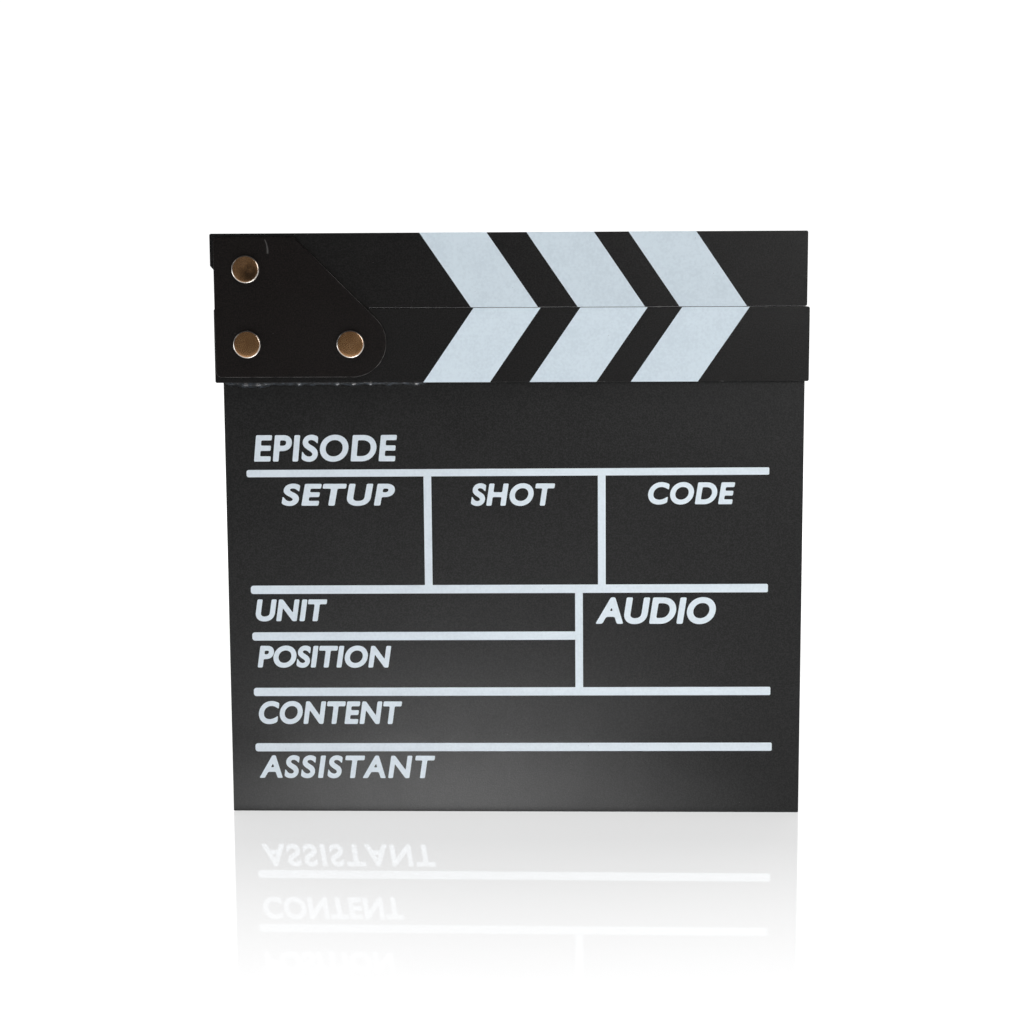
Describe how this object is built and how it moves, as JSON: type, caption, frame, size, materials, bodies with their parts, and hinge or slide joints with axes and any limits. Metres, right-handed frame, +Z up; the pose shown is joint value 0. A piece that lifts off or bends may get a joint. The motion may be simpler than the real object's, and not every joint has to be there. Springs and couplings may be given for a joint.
{
  "type": "clapperboard",
  "caption": "Black painted film slate with a ruled writing panel and a hinged clap stick with white slanting stripes, riveted between hinge plates at one end.",
  "frame": {"origin": "middle of the board's bottom edge, at the middle of its thickness", "axes": "+Z up along the board, +X to the right seen from the front, the front faces -Y"},
  "size_m": [0.2009, 0.0144, 0.2],
  "materials": {
    "black_painted_board": "satin black paint on fibreboard",
    "black_painted_stick": "satin black paint on wood",
    "black_sheet_metal": "satin black powder coat",
    "rivet_metal": "polished, nickel on brass, warm",
    "clear_glue": "glossy dried glue",
    "white_ink": "matt white screen print"
  },
  "bodies": {
    "slate": {"slate_board": "black_painted_board", "lower_stick": "black_painted_stick", "front_hinge_plate": "black_sheet_metal", "back_hinge_plate": "black_sheet_metal", "pivot_rivet_pin": "rivet_metal", "pivot_rivet_socket": "rivet_metal", "lower_left_rivet_pin": "rivet_metal", "lower_left_rivet_socket": "rivet_metal", "lower_right_rivet_pin": "rivet_metal", "lower_right_rivet_socket": "rivet_metal", "groove_glue": "clear_glue", "glue_bead": "clear_glue", "lower_stripe_1": "white_ink", "lower_stripe_2": "white_ink", "lower_stripe_3": "white_ink", "field_rules": "white_ink"},
    "clap_stick": {"upper_stick": "black_painted_stick", "upper_stripe_1": "white_ink", "upper_stripe_2": "white_ink", "upper_stripe_3": "white_ink"}
  },
  "joints": [
    {"name": "clap_hinge", "type": "hinge", "parent": "slate", "child": "clap_stick", "pos_m": [-0.0893, 0, 0.1881], "axis": [0, -1, 0], "range_deg": [0, 94]}
  ]
}
